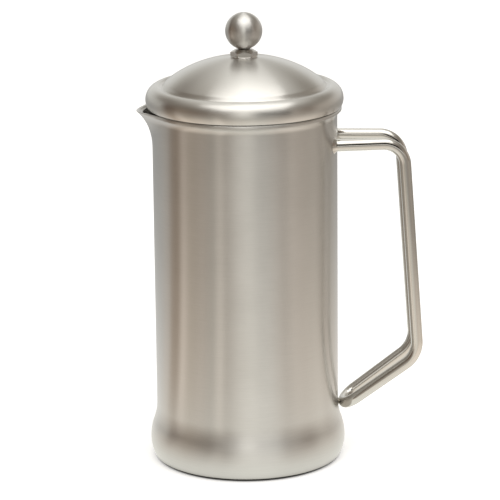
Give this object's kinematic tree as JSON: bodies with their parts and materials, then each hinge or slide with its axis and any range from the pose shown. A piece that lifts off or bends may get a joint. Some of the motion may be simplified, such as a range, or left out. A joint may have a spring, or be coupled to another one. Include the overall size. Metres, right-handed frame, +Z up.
{
  "type": "french press",
  "caption": "Double-walled steel coffee press with a pouring spout, double-rod side handle, domed lid and ball-knob plunger that pushes a mesh filter down.",
  "frame": {"origin": "centre of the flat base, on the surface the pot stands on", "axes": "+Z up along the pot's axis, +X towards the handle, -X towards the spout"},
  "size_m": [0.1536, 0.1072, 0.2472],
  "materials": {
    "satin_steel": "satin, brushed round the body",
    "liner_steel": "fine satin",
    "polished_steel": "polished",
    "spring_steel": "drawn wire",
    "mesh_steel": "woven wire",
    "plastic": "natural nylon"
  },
  "bodies": {
    "pot": {"outer_shell": "satin_steel", "inner_liner": "liner_steel", "base_plate": "satin_steel", "handle_rod": "polished_steel", "upper_handle_welds": "polished_steel", "lower_handle_weld": "polished_steel"},
    "lid": {"lid_shell": "satin_steel", "lid_insert": "liner_steel", "lid_bush": "polished_steel", "lid_washer": "polished_steel", "bush_washer": "polished_steel", "bush_nut": "polished_steel"},
    "sleeve": {"guide_sleeve": "plastic"},
    "plunger": {"knob_ball": "satin_steel", "plunger_rod": "polished_steel", "filter_hub": "polished_steel", "spreader_plate": "liner_steel", "edge_spring": "spring_steel", "mesh_screen": "mesh_steel", "support_plate": "liner_steel", "filter_nut": "polished_steel"}
  },
  "joints": [
    {"name": "lid_lift", "type": "slide", "parent": "pot", "child": "lid", "axis": [0, 0, 1], "range_m": [0, 0.2]},
    {"name": "plunger_turn", "type": "hinge", "parent": "lid", "child": "sleeve", "pos_m": [0, 0, 0.206], "axis": [0, 0, 1], "continuous": true},
    {"name": "plunger_slide", "type": "slide", "parent": "sleeve", "child": "plunger", "axis": [0, 0, 1], "range_m": [0, 0.16]}
  ]
}
